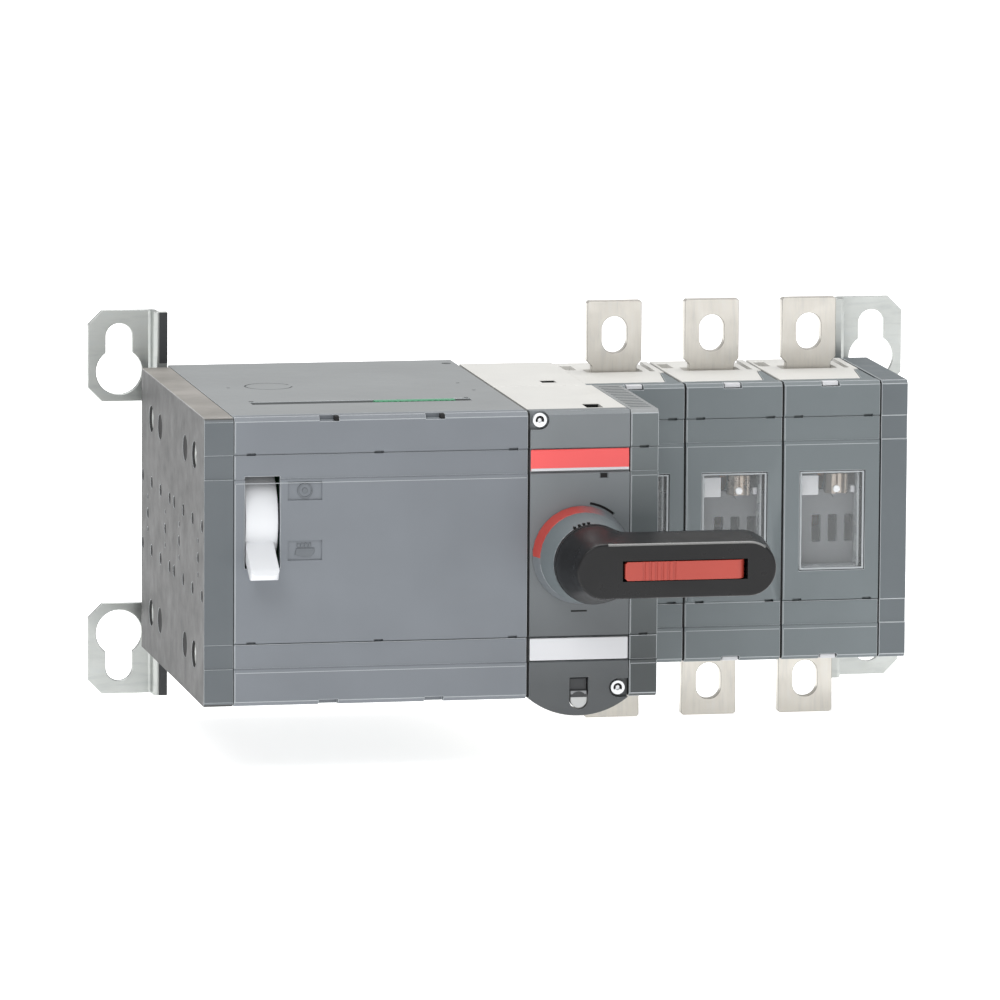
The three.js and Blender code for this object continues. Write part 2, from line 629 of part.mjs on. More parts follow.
function poleCover() {
  const cover = frontCover([-POLE_SIDE, POLE_SIDE], POLE_FRONT, POLE_HALF, 1.25, [[-3.8, 2.6]]);
  const deeper = [POLE_FRONT + COVER - 0.5, POLE_FRONT + COVER + 1];
  const lip = both(box([-POLE_SIDE, POLE_SIDE], deeper, [POLE_HALF - WALL, POLE_HALF]));
  return cut(
    join(cover, ...lip, ...tongue(0)),
    box(WINDOW.x, [POLE_FRONT - 1, POLE_FRONT + PLATE + 1], [-WINDOW.half, WINDOW.half]),
  );
}

function poleWindow() {
  const [x0, x1] = WINDOW.x;
  const half = WINDOW.half - GAP;
  return box([x0 + GAP, x1 - GAP], [POLE_FRONT + 0.2, POLE_FRONT + 2], [-half, half]);
}

function terminal() {
  const { front, thick, half, neck, shoulder, tip, slotR, slotZ } = LUG;
  const right = [[neck, JAW_Z], [neck, shoulder], [half, shoulder + 1.8], [half, tip - 0.6], [half - 0.6, tip]];
  const left = right.map(([x, z]) => [-x, z]).reverse();
  const span = [front, front + thick];
  const open = [front - 1, front + thick + 1];
  return cut(
    prism("y", outline([...right, ...left]), span),
    prism("y", obround(0, slotZ, slotR, 4), open, { curveSegments: 10 }),
    box([-BLADE.thick / 2 - 0.4, BLADE.thick / 2 + 0.4], open, [JAW_Z - 1, BLADE.half + 1.5]),
  );
}

// The panel behind the window: guides for the arc, with three upright slots.
function arcChute() {
  const y = POLE_FRONT + 8;
  const slots = [-3.5, 2.4, 8.3].map((x) => box([x - 1.5, x + 1.5], [y - 1, y + 5], [-8.6, 0.8]));
  return cut(box([-13, 13], [y, y + 3.4], [-17, 10]), ...slots);
}

function contactBlade(x) {
  const blade = new THREE.Group();
  blade.position.set(x, CONTACT_Y, 0);
  blade.rotation.x = BLADE.open;
  const { half, wide, thick } = BLADE;
  const end = outline([
    [-wide / 2, -half + 2], [-wide / 2 + 2, -half], [wide / 2 - 2, -half], [wide / 2, -half + 2],
    [wide / 2, half - 2], [wide / 2 - 2, half], [-wide / 2 + 2, half], [-wide / 2, half - 2],
  ]);
  const hub = bar("x", 7.5, [-4, 4], [0, 0], 16);
  const hole = SHAFT_SIDE / 2 + GAP;
  return [blade, cut(
    join(prism("x", end, [-thick / 2, thick / 2]), hub),
    box([-5, 5], [-hole, hole], [-hole, hole]),
  )];
}

function addPoles() {
  const upper = terminal();
  POLES.forEach((x, i) => {
    const n = i + 1;
    const pole = new THREE.Group();
    pole.position.x = x;
    object.add(pole);
    add(pole, "pole_housing_" + n, "base", poleHousing());
    add(pole, "pole_cover_" + n, "cover", poleCover());
    add(pole, "pole_window_" + n, "glass", poleWindow());
    add(pole, "arc_chute_" + n, "housing", arcChute());
    add(pole, "line_terminal_" + n, "tin", upper);
    add(pole, "load_terminal_" + n, "tin", mirrorZ(upper));
    const [blade, shape] = contactBlade(x);
    object.add(blade);
    add(blade, "contact_blade_" + n, "copper", shape);
  });
  const shaft = new THREE.Group();
  shaft.position.y = CONTACT_Y;
  shaft.rotation.x = BLADE.open;
  object.add(shaft);
  const side = SHAFT_SIDE / 2;
  add(shaft, "contact_shaft", "steel", box([-8, 117.5], [-side, side], [-side, side]));
}

addFrame();
addOperator();
addMechanism();
addHandle();
addPoles();

export default object;
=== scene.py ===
# Looks for the manual transfer switch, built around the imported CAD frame.
# Metres, +Z up; X along the row of modules, the handle's axis at X = 0, Z = 0, the panel at Y = 0.
import math

import bmesh
import bpy
from mathutils import Matrix, Vector


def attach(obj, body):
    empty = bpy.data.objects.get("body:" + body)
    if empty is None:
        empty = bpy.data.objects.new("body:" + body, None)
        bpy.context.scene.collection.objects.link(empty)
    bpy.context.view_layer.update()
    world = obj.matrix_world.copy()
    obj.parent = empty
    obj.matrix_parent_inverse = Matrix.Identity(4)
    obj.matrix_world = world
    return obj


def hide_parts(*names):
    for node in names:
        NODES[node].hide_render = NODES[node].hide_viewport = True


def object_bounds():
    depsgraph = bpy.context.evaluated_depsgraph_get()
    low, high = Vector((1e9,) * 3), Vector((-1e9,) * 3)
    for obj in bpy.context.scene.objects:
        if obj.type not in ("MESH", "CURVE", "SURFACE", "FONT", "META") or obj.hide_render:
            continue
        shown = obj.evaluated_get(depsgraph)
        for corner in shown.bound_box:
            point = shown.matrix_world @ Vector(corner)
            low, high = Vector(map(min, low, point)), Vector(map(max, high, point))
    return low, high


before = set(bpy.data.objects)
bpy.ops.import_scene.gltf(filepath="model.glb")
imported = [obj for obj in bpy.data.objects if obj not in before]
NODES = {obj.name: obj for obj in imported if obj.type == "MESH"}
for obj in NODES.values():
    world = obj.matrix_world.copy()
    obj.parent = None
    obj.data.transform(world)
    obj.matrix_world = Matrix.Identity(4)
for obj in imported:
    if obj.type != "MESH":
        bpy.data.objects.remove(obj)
CAD_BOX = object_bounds()
MM = 0.001

WELD_DISTANCE = 0.00001
FLAT_ANGLE, CAD_FLAT_ANGLE, SHARP_ANGLE = math.radians(0.5), math.radians(0.6), math.radians(38)
NORMAL_WEIGHT = 90

# Camera: the photograph's angle, from the left and a little above.
CAMERA_AT = (-0.6587, -3.2920, 0.4857)
CAMERA_YAW, CAMERA_PITCH, CAMERA_ROLL = -11.34, 8.273, 0.357
LENS = 343.0

camera = bpy.data.objects.new("camera", bpy.data.cameras.new("camera"))
bpy.context.scene.collection.objects.link(camera)
camera.data.lens = LENS
camera.data.sensor_width = 36.0
camera.data.clip_end = 100.0
camera.matrix_world = (
    Matrix.Translation(CAMERA_AT)
    @ Matrix.Rotation(math.radians(CAMERA_YAW), 4, "Z")
    @ Matrix.Rotation(math.radians(90.0 - CAMERA_PITCH), 4, "X")
    @ Matrix.Rotation(math.radians(CAMERA_ROLL), 4, "Z")
)
bpy.context.scene.camera = camera


def linear(r, g, b):
    """An sRGB colour in 0 to 255 as linear RGBA."""
    def one(c):
        c /= 255.0
        return c / 12.92 if c <= 0.04045 else ((c + 0.055) / 1.055) ** 2.4
    return (one(r), one(g), one(b), 1.0)


# ---- Materials -------------------------------------------------------------------------------


class Shader:
    """A Principled material with helpers that add nodes in object space."""

    def __init__(self, name):
        self.material = bpy.data.materials.new(name)
        self.material.use_nodes = True
        self.tree = self.material.node_tree
        self.bsdf = self.tree.nodes["Principled BSDF"]
        self.at = self.tree.nodes.new("ShaderNodeTexCoord").outputs["Object"]

    def set(self, **values):
        for key, value in values.items():
            self.bsdf.inputs[key.replace("_", " ")].default_value = value
        return self

    def link(self, a, b):
        self.tree.links.new(a, b)

    def stretched(self, scale):
        node = self.tree.nodes.new("ShaderNodeMapping")
        node.inputs["Scale"].default_value = scale
        self.link(self.at, node.inputs["Vector"])
        return node.outputs["Vector"]

    def noise(self, scale, detail=2.0, rough=0.5, stretch=None):
        node = self.tree.nodes.new("ShaderNodeTexNoise")
        node.inputs["Scale"].default_value = scale
        node.inputs["Detail"].default_value = detail
        node.inputs["Roughness"].default_value = rough
        self.link(self.stretched(stretch) if stretch else self.at, node.inputs["Vector"])
        return node.outputs["Fac"]

    def ramp(self, fac, stops):
        node = self.tree.nodes.new("ShaderNodeValToRGB")
        ramp = node.color_ramp
        while len(ramp.elements) < len(stops):
            ramp.elements.new(0.5)
        for element, (place, colour) in zip(ramp.elements, stops):
            element.position = place
            element.color = colour
        self.link(fac, node.inputs["Fac"])
        return node.outputs["Color"]

    def range(self, fac, low, high):
        node = self.tree.nodes.new("ShaderNodeMapRange")
        node.inputs["From Min"].default_value = 0.3
        node.inputs["From Max"].default_value = 0.7
        node.inputs["To Min"].default_value = low
        node.inputs["To Max"].default_value = high
        self.link(fac, node.inputs["Value"])
        return node.outputs["Result"]

    def coordinate(self, axis):
        node = self.tree.nodes.new("ShaderNodeSeparateXYZ")
        self.link(self.at, node.inputs["Vector"])
        return node.outputs[axis]

    def between(self, value, start, end):
        """0 at start, 1 at end."""
        node = self.tree.nodes.new("ShaderNodeMapRange")
        node.inputs["From Min"].default_value = start
        node.inputs["From Max"].default_value = end
        self.link(value, node.inputs["Value"])
        return node.outputs["Result"]

    def mix(self, factor, first, second):
        node = self.tree.nodes.new("ShaderNodeMix")
        node.data_type = "RGBA"
        self.link(factor, node.inputs["Factor"])
        self.link(first, node.inputs[6])
        self.link(second, node.inputs[7])
        return node.outputs[2]

    def bump(self, height, strength, distance, after=None):
        node = self.tree.nodes.new("ShaderNodeBump")
        node.inputs["Strength"].default_value = strength
        node.inputs["Distance"].default_value = distance
        self.link(height, node.inputs["Height"])
        if after is not None:
            self.link(after, node.inputs["Normal"])
        return node.outputs["Normal"]


def shade(colour, factor):
    return tuple(min(1.0, c * factor) for c in colour[:3]) + (1.0,)


def moulded(name, colour, rough=0.45, vary=0.05, grain=0.25, patch=28.0, fade=None):
    """Moulded plastic: soft cloudy colour, a fine spark-eroded grain and uneven gloss.

    With fade = (height, lower height, factor), the colour darkens by that factor on the way down: painted
    shade, as under the handle.
    """
    s = Shader(name)
    stops = [(0.3, shade(colour, 1 - vary)), (0.7, shade(colour, 1 + vary))]
    tone = s.ramp(s.noise(patch, 3.0, 0.55), stops)
    if fade:
        high, low, factor = fade
        down = s.between(s.coordinate("Z"), high, low)
        painted_shade = s.ramp(down, [(0.0, (1, 1, 1, 1)), (1.0, (factor, factor, factor, 1))])
        mix = s.tree.nodes.new("ShaderNodeMix")
        mix.data_type, mix.blend_type = "RGBA", "MULTIPLY"
        mix.inputs["Factor"].default_value = 1.0
        s.link(tone, mix.inputs[6])
        s.link(painted_shade, mix.inputs[7])
        tone = mix.outputs[2]
    s.link(tone, s.bsdf.inputs["Base Color"])
    s.link(s.range(s.noise(patch * 3, 4.0, 0.6), rough - 0.05, rough + 0.06), s.bsdf.inputs["Roughness"])
    fine = s.bump(s.noise(2600.0, 2.0), grain, 0.00004)
    s.link(s.bump(s.noise(140.0, 2.0), 0.05, 0.0004, fine), s.bsdf.inputs["Normal"])
    return s


def sheet_metal(name, colour, rough, stretch, tint, vary=0.07):
    """Plated sheet: rolled streaks, a faint spangle and uneven roughness."""
    s = Shader(name).set(Metallic=1.0)
    streaks = s.noise(60.0, 5.0, 0.65, stretch)
    stops = [(0.25, shade(colour, 1 - vary)), (0.5, tint), (0.75, shade(colour, 1 + vary))]
    s.link(s.ramp(streaks, stops), s.bsdf.inputs["Base Color"])
    s.link(s.range(s.noise(90.0, 4.0, 0.6), rough - 0.08, rough + 0.08), s.bsdf.inputs["Roughness"])
    fine = s.bump(s.noise(900.0, 3.0, 0.6, stretch), 0.12, 0.00005)
    s.link(s.bump(s.noise(70.0, 2.0), 0.06, 0.0004, fine), s.bsdf.inputs["Normal"])
    return s


COVER = moulded("cover_grey", linear(112, 117, 123)).material
POLE_GREY = moulded("pole_cover_grey", linear(104, 112, 115)).material
RIGHT_GREY = moulded("right_plate_grey", linear(92, 99, 103)).material
# The mechanism cover and the side cover darken towards the bottom: painted shade under the handle.
MECHANISM_GREY = moulded("mechanism_grey", linear(114, 119, 122), fade=(0.015, -0.045, 0.42)).material
SIDE_GREY = moulded("side_cover_grey", linear(100, 107, 109), fade=(0.035, -0.04, 0.42)).material
HOUSING = moulded("housing_grey", linear(94, 97, 100), 0.42, 0.09).material
# A lighter copy of the covers' grey for the operator's housing and the side cover's top: painted top light.
OPERATOR_LIT_TOP_GREY = moulded("operator_lit_top_grey", linear(133, 136, 137), 0.45).material
BASE = moulded("base_light", linear(205, 204, 200), 0.4, 0.02).material
BLACK = moulded("grip_black", linear(27, 27, 28), 0.3, 0.08).set(Specular_IOR_Level=0.25).material
RED = moulded("handle_red", linear(168, 62, 50), 0.42).material
LABEL = moulded("label_red", linear(232, 86, 86), 0.35, 0.02, 0.1).material
WHITE = moulded("white_plastic", linear(204, 205, 208), 0.35, 0.015).material
SELECTOR_WHITE = moulded("selector_white", linear(217, 219, 222), 0.35, 0.03).material
GREEN = moulded("connector_green", linear(58, 140, 100), 0.4).material
BOARD = moulded("board_green", linear(40, 96, 64), 0.35).material
ZINC = sheet_metal("zinc_steel", linear(184, 188, 187), 0.4, (1, 1, 6), linear(192, 195, 192)).material
BRIGHT_ZINC = moulded("screw_zinc", linear(228, 230, 232), 0.25, 0.05).set(Metallic=0.35).material
TIN = sheet_metal("tinned_copper", linear(206, 204, 199), 0.38, (8, 8, 1), linear(212, 208, 200))
TIN = TIN.set(Metallic=0.7).material
COPPER = sheet_metal("contact_copper", linear(214, 158, 120), 0.34, (1, 5, 1), linear(206, 150, 116)).material
STEEL = sheet_metal("bare_steel", linear(168, 170, 172), 0.32, (1, 1, 9), linear(160, 162, 166)).material


def clear(name):
    """Clear moulded plastic, with faint flow marks in its gloss."""
    s = Shader(name).set(Base_Color=linear(214, 218, 220), IOR=1.49, Alpha=0.1)
    s.link(s.range(s.noise(60.0, 3.0), 0.02, 0.07), s.bsdf.inputs["Roughness"])
    s.link(s.bump(s.noise(40.0, 2.0), 0.02, 0.0003), s.bsdf.inputs["Normal"])
    return s


GLASS = clear("window_clear").material
# Black put into gaps, grooves and hole bottoms: painted shadow.
SHADOW = moulded("painted_shadow_black", linear(14, 14, 15), 0.8, 0.1).material
WALL_CLEAR = moulded("window_wall", linear(160, 165, 168), 0.25, 0.03, 0.05).material
# Edge colours: the pale cover grey and the grey on the grip's rim are painted highlights; the tinned copper's
# edges are darker.
EDGE_HIGHLIGHT_GREY = moulded("cover_edge_highlight", linear(166, 171, 174), 0.4).material
EDGE_TIN = sheet_metal("cut_edge", linear(150, 147, 142), 0.5, (8, 8, 1), linear(160, 156, 150)).material
GRIP_EDGE_HIGHLIGHT = moulded("grip_edge_highlight", linear(120, 120, 119), 0.3).material
MARK_GREY = moulded("mark_grey", linear(98, 103, 108), 0.5).material
CLIP_DARK = moulded("clip_dark", linear(52, 54, 56), 0.45).material
CLIP_GREY = moulded("clip_grey", linear(138, 141, 143), 0.4).material
CLIP_PALE = moulded("clip_pale", linear(186, 188, 188), 0.4).material
BRASSY = sheet_metal(
    "window_contact", linear(140, 126, 112), 0.3, (6, 1, 1), linear(170, 160, 150), 0.25).material


# Where the red of the base ring starts and is full, as an angle in radians from +X towards +Z.
RED_SECTOR = (1.05, 1.75)


def ring_finish():
    """The ring around the handle's base: grey, with a red sector from its left round to its top."""
    s = Shader("base_ring_two_tone").set(Roughness=0.4)
    angle = s.tree.nodes.new("ShaderNodeMath")
    angle.operation = "ARCTAN2"
    s.link(s.coordinate("Z"), angle.inputs[0])
    s.link(s.coordinate("X"), angle.inputs[1])
    grey = s.ramp(s.noise(40.0, 3.0), [(0.3, linear(104, 109, 114)), (0.7, linear(112, 117, 121))])
    red = s.ramp(s.noise(30.0, 2.0), [(0.3, linear(172, 64, 58)), (0.7, linear(180, 70, 64))])
    s.link(s.mix(s.between(angle.outputs["Value"], *RED_SECTOR), grey, red), s.bsdf.inputs["Base Color"])
    return s.material


RING_TWO_TONE = ring_finish()


# Where the left end plate's front face and its painted top light begin, in metres.
PLATE_FRONT_Y, PLATE_LIT_TOP_Z = (-0.1472, -0.1474), (0.0490, 0.0494)


def plate_finish():
    """The left end plate: dark grey, paler on top as painted top light, with its front face in the covers'
    colour.
    """
    s = moulded("plate_two_tone_lit_top", linear(50, 51, 51), 0.5, 0.14, 0.3, 45.0)
    side = s.bsdf.inputs["Base Color"].links[0].from_socket
    face = s.ramp(s.noise(28.0, 3.0), [(0.3, linear(85, 91, 95)), (0.7, linear(90, 96, 100))])
    # Paler on top: painted top light.
    lit_top_tone = s.ramp(s.noise(55.0, 4.0), [(0.3, linear(122, 119, 114)), (0.7, linear(148, 144, 139))])
    fronted = s.mix(s.between(s.coordinate("Y"), *PLATE_FRONT_Y), side, face)
    s.link(s.mix(s.between(s.coordinate("Z"), *PLATE_LIT_TOP_Z), fronted, lit_top_tone), s.bsdf.inputs["Base Color"])
    return s.material


PLATE_TWO_TONE_LIT_TOP = plate_finish()

NODE_MATERIAL = {
    "end_plate_left": PLATE_TWO_TONE_LIT_TOP, "end_plate_right": RIGHT_GREY,
    "operator_housing": OPERATOR_LIT_TOP_GREY, "operator_front_cover": OPERATOR_LIT_TOP_GREY,
    "control_connector": GREEN, "circuit_board": BOARD,
    "selector_lever": SELECTOR_WHITE, "selector_pin": STEEL, "drive_motor": STEEL, "motor_pinion": STEEL,
    "gear_wheel": WHITE, "mechanism_front_housing": BASE, "mechanism_rear_housing": BASE,
    "mechanism_cover": COVER, "mechanism_side_cover": COVER, "stripe_label": LABEL,
    "marking_plate": WHITE, "locking_clip": WHITE,
    "handle_base_ring": RING_TWO_TONE, "handle_collar": POLE_GREY, "handle_grip": BLACK,
    "handle_shaft": STEEL,
    "handle_lock_lever": RED, "handle_lock_pin": STEEL, "contact_shaft": STEEL,
}
FAMILY_MATERIAL = {
    "mounting_bracket": ZINC, "tie_rod": ZINC, "rod_nut": ZINC, "cover_screw": ZINC,
    "pole_housing": BASE, "pole_cover": POLE_GREY, "pole_window": GLASS, "arc_chute": HOUSING,
    "line_terminal": TIN, "load_terminal": TIN, "contact_blade": COPPER,
}

# Families whose planar faces aren't dissolved, because that leaves dark triangles round their holes.
MANY_HOLES = ("pole_housing", "end_plate_left", "line_terminal", "load_terminal")


def material_of(name):
    if name in NODE_MATERIAL:
        return NODE_MATERIAL[name]
    return next(m for family, m in FAMILY_MATERIAL.items() if name.startswith(family))


# ---- Finish of the CAD nodes -----------------------------------------------------------------


def smoothing_group():
    """Geometry nodes that weld a faceted solid and shade it smooth."""
    group = bpy.data.node_groups.new("weld_smooth", "GeometryNodeTree")
    group.interface.new_socket("Geometry", in_out="INPUT", socket_type="NodeSocketGeometry")
    group.interface.new_socket("Geometry", in_out="OUTPUT", socket_type="NodeSocketGeometry")
    start = group.nodes.new("NodeGroupInput")
    weld = group.nodes.new("GeometryNodeMergeByDistance")
    weld.inputs["Distance"].default_value = WELD_DISTANCE
    smooth = group.nodes.new("GeometryNodeSetShadeSmooth")
    end = group.nodes.new("NodeGroupOutput")
    group.links.new(start.outputs[0], weld.inputs["Geometry"])
    group.links.new(weld.outputs["Geometry"], smooth.inputs["Geometry"])
    group.links.new(smooth.outputs["Geometry"], end.inputs[0])
    return group


WELD = smoothing_group()

# The edge colour of each finish: painted highlights on the greys, darker edges on tinned copper.
EDGE_HIGHLIGHT_AND_CUT = dict.fromkeys(
    (COVER, POLE_GREY, RIGHT_GREY, MECHANISM_GREY, SIDE_GREY, OPERATOR_LIT_TOP_GREY, PLATE_TWO_TONE_LIT_TOP), EDGE_HIGHLIGHT_GREY)
EDGE_HIGHLIGHT_AND_CUT[TIN] = EDGE_TIN


def dress(obj, material):
    obj.data.materials.clear()
    obj.data.materials.append(material)


def soften(obj, width=0.35, segments=2, angle=35.0):
    """Welds, cleans and rounds the edges of a piece, with flat faces kept flat and, where the finish has one,
    the rounded edges in an edge colour: paler on the greys as a painted highlight, darker on tinned copper.
    """
    edge = EDGE_HIGHLIGHT_AND_CUT.get(obj.data.materials[0])
    if edge:
        obj.data.materials.append(edge)
    obj.modifiers.new("weld", "NODES").node_group = WELD
    planar = obj.modifiers.new("planar", "DECIMATE")
    planar.decimate_type = "DISSOLVE"
    planar.angle_limit = CAD_FLAT_ANGLE
    bevel = obj.modifiers.new("bevel", "BEVEL")
    bevel.width = width * MM
    bevel.segments = segments
    bevel.limit_method = "ANGLE"
    bevel.angle_limit = math.radians(angle)
    bevel.harden_normals = True
    bevel.miter_outer = "MITER_ARC"
    bevel.material = 1 if edge else -1
    normals = obj.modifiers.new("normals", "WEIGHTED_NORMAL")
    normals.keep_sharp = False
    normals.weight = NORMAL_WEIGHT


for name, node in NODES.items():
    dress(node, material_of(name))
    soften(node, 0.15 if "terminal" in name else 0.35, 1 if name.startswith(MANY_HOLES) else 2)
    if name.startswith(MANY_HOLES):
        node.modifiers.remove(node.modifiers["planar"])

# ---- Detailed pieces, in millimetres ---------------------------------------------------------

AXES = {"x": lambda u, v, w: (w, u, v), "y": lambda u, v, w: (u, w, v), "z": lambda u, v, w: (u, v, w)}


def prism(outline, axis, span):
    """An outline swept along an axis: the outline holds the two other coordinates, in XYZ order."""
    return outline, axis, span


def block(x, y, z):
    return prism([(x[0], z[0]), (x[1], z[0]), (x[1], z[1]), (x[0], z[1])], "y", y)


def disc(axis, r, span, centre=(0, 0), n=32):
    u, v = centre
    turns = [2 * math.pi * k / n for k in range(n)]
    return prism([(u + r * math.cos(a), v + r * math.sin(a)) for a in turns], axis, span)


def arc_strip(axis, radii, degrees, span, centre=(0, 0), n=24):
    """A strip that follows part of a circle."""
    u, v = centre
    inner, outer = radii
    turns = [math.radians(degrees[0] + (degrees[1] - degrees[0]) * k / n) for k in range(n + 1)]
    points = [(u + outer * math.cos(a), v + outer * math.sin(a)) for a in turns]
    points += [(u + inner * math.cos(a), v + inner * math.sin(a)) for a in reversed(turns)]
    return prism(points, axis, span)


def skin(bm, loops):
    """A closed skin over loops of as many points each, with a flat cap at either end."""
    rings = [[bm.verts.new(Vector(p) * MM) for p in loop] for loop in loops]
    count = len(rings[0])
    for a, b in zip(rings, rings[1:]):
        for k in range(count):
            bm.faces.new((a[k], a[(k + 1) % count], b[(k + 1) % count], b[k]))
    bm.faces.new(list(reversed(rings[0])))
    bm.faces.new(rings[-1])


def build(name, solids):
    """One object from prisms, or from lists of loops."""
    bm = bmesh.new()
    for solid in solids:
        if isinstance(solid, tuple):
            outline, axis, span = solid
            solid = [[AXES[axis](u, v, w) for u, v in outline] for w in sorted(span)]
        skin(bm, solid)
    bmesh.ops.recalc_face_normals(bm, faces=bm.faces)
    data = bpy.data.meshes.new(name)
    bm.to_mesh(data)
    bm.free()
    obj = bpy.data.objects.new(name, data)
    bpy.context.scene.collection.objects.link(obj)
    return obj


def combine(obj, solids, how="DIFFERENCE"):
    """Cuts solids from an object, or joins them to it."""
    for k, solid in enumerate(solids):
        tool = build("tool", [solid])
        step = obj.modifiers.new(f"step_{k}", "BOOLEAN")
        step.solver = "EXACT"
        step.operation = how
        step.object = tool
    bpy.context.view_layer.update()
    shown = obj.evaluated_get(bpy.context.evaluated_depsgraph_get())
    data = bpy.data.meshes.new_from_object(shown)
    tools = [m.object for m in obj.modifiers if m.type == "BOOLEAN"]
    obj.modifiers.clear()
    obj.data = data
    for tool in tools:
        bpy.data.objects.remove(tool)


def copy_of(node, name):
    """A copy of a CAD node's mesh, welded, to be worked on as a new piece."""
    data = bpy.data.meshes.new(name)
    bm = bmesh.new()
    bm.from_mesh(NODES[node].data)
    bmesh.ops.remove_doubles(bm, verts=bm.verts, dist=WELD_DISTANCE)
    bmesh.ops.dissolve_limit(bm, angle_limit=FLAT_ANGLE, verts=bm.verts, edges=bm.edges)
    bm.to_mesh(data)
    bm.free()
    obj = bpy.data.objects.new(name, data)
    bpy.context.scene.collection.objects.link(obj)
    return obj


def rounded_copy(node, name, material, width=0.35):
    """A copy of a CAD node with its edges rounded already, so that fine cuts can follow."""
    obj = copy_of(node, name)
    dress(obj, material)
    soften(obj, width)
    return obj


def crease(obj):
    """Smooth shading with sharp edges kept, for a piece that has its final mesh."""
    bm = bmesh.new()
    bm.from_mesh(obj.data)
    bmesh.ops.dissolve_limit(
        bm, angle_limit=FLAT_ANGLE, verts=bm.verts, edges=bm.edges, delimit={"MATERIAL"})
    for face in bm.faces:
        face.smooth = True
    for edge in bm.edges:
        edge.smooth = not edge.is_manifold or edge.calc_face_angle(0) < SHARP_ANGLE
    bm.to_mesh(obj.data)
    bm.free()
    normals = obj.data.attributes.get("custom_normal")
    if normals:
        obj.data.attributes.remove(normals)
    weighted = obj.modifiers.new("normals", "WEIGHTED_NORMAL")
    weighted.keep_sharp = True
    weighted.weight = NORMAL_WEIGHT


def place(obj, material, slot, body="frame", nodes=(), width=0.35, segments=2):
    """Gives a piece its finish and its body, and says which CAD nodes it stands for."""
    if width:
        dress(obj, material)
        soften(obj, width, segments)
    else:
        crease(obj)
    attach(obj, body)
    if nodes:
        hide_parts(*nodes)
    return obj


FRONT, POLE_FRONT, TOP, POLE_TOP = -148.0, -83.0, 49.5, 49.0
UPPER_GROOVE, LOWER_GROOVE = (36.5, 36.95), (-28.25, -27.9)
LEDGES = (28.3, -36.6)


def smooth_max(a, b, k):
    share = max(0.0, 1 - abs(a - b) / k)
    return max(a, b) + k * share * share / 4


def grip_outline(hub, arm, end=50.0):
    """Hub and arm seen from the front, with a hollow blend between them."""
    turns = [math.radians(180 - 7.5 * k) for k in range(13)]
    upper = [(hub * math.cos(a), hub * math.sin(a)) for a in turns]
    blend = max(0.05, min(3.0, hub - arm))
    for x in [1.2 * k for k in range(1, 15)] + [20, 30, 40, end]:
        circle = math.sqrt(max(0.0, hub * hub - x * x))
        upper.append((x, smooth_max(circle, arm, blend)))
    turns = [math.radians(90 - 7.5 * k) for k in range(1, 13)]
    upper += [(end + arm * math.cos(a), arm * math.sin(a)) for a in turns]
    lower = [(x, -z) for x, z in reversed(upper[1:-1])]
    return upper + lower


def make_handle():
    levels = [
        (-171.0, 13.4, 10.4), (-171.6, 13.5, 11.0), (-173.5, 13.2, 11.2), (-176, 12.6, 10.9),
        (-179, 11.7, 10.5), (-182, 10.8, 10.1), (-185, 10.0, 9.7), (-187.2, 9.5, 9.4),
        (-187.75, 9.2, 9.15), (-188.0, 8.7, 8.7),
    ]
    loops = [[(x, y, z) for x, z in grip_outline(hub, arm)] for y, hub, arm in levels]
    grip = build("grip_shell", [loops])
    combine(grip, [disc("y", 13.6, (-171.4, -168.3), n=48)], "UNION")
    slot = block((6.2, 49.4), (-190, -180.5), (-3.5, 3.5))
    bores = [disc("y", 4.3, (-176.3, -168)), disc("z", 1.3, (-7.5, 7.5), (45, -184.7), 16)]
    combine(grip, [slot, *bores])
    dress(grip, BLACK)
    # The upper front edge of the arm takes a pale grey: a painted highlight.
    grip.data.materials.append(GRIP_EDGE_HIGHLIGHT)
    for face in grip.data.polygons:
        middle = face.center / MM
        rim = -187.98 < middle.y < -187.3 and middle.x > 1 and middle.z > 7
        face.material_index = 1 if rim else 0
    place(grip, BLACK, "grip_black", "handle", ["handle_grip"], 0)

    # Painted shade: black blocks in the gaps between the teeth at the handle's hub.
    marks = []
    for x in (-6.2, -4.6, -3.0, -1.4):
        z = math.sqrt(13.8 ** 2 - x * x)
        marks.append(block((x - 0.45, x + 0.45), (-167.8, -166.5), (z - 0.6, z + 0.25)))
    place(build("collar_tooth_shadows", marks), SHADOW, "grip_black", "handle", width=0.03, segments=1)

    lever = rounded_copy("handle_lock_lever", "lock_lever_ribbed", RED, 0.25)
    ribs = [block((x, x + 1.0), (-190, -188.12), (-4, 4)) for x in (13, 15.1, 17.2, 19.3, 21.4, 23.5)]
    corner = [(6, 2.4), (7, 2.4), (7.8, 3.2), (7.8, 4), (6, 4)]
    mirrored = [(x, -z) for x, z in corner]
    trims = [prism(points, "y", (-190, -180)) for points in (corner, mirrored)]
    combine(lever, [*ribs, *trims])
    place(lever, RED, "handle_red", "lock_lever", ["handle_lock_lever"], 0)
    glint = arc_strip("y", (15.2, 15.5), (188, 252), (-154.06, -153.9))
    place(build("ring_glint", [glint]), WALL_CLEAR, "cover_grey", width=0.03, segments=1)


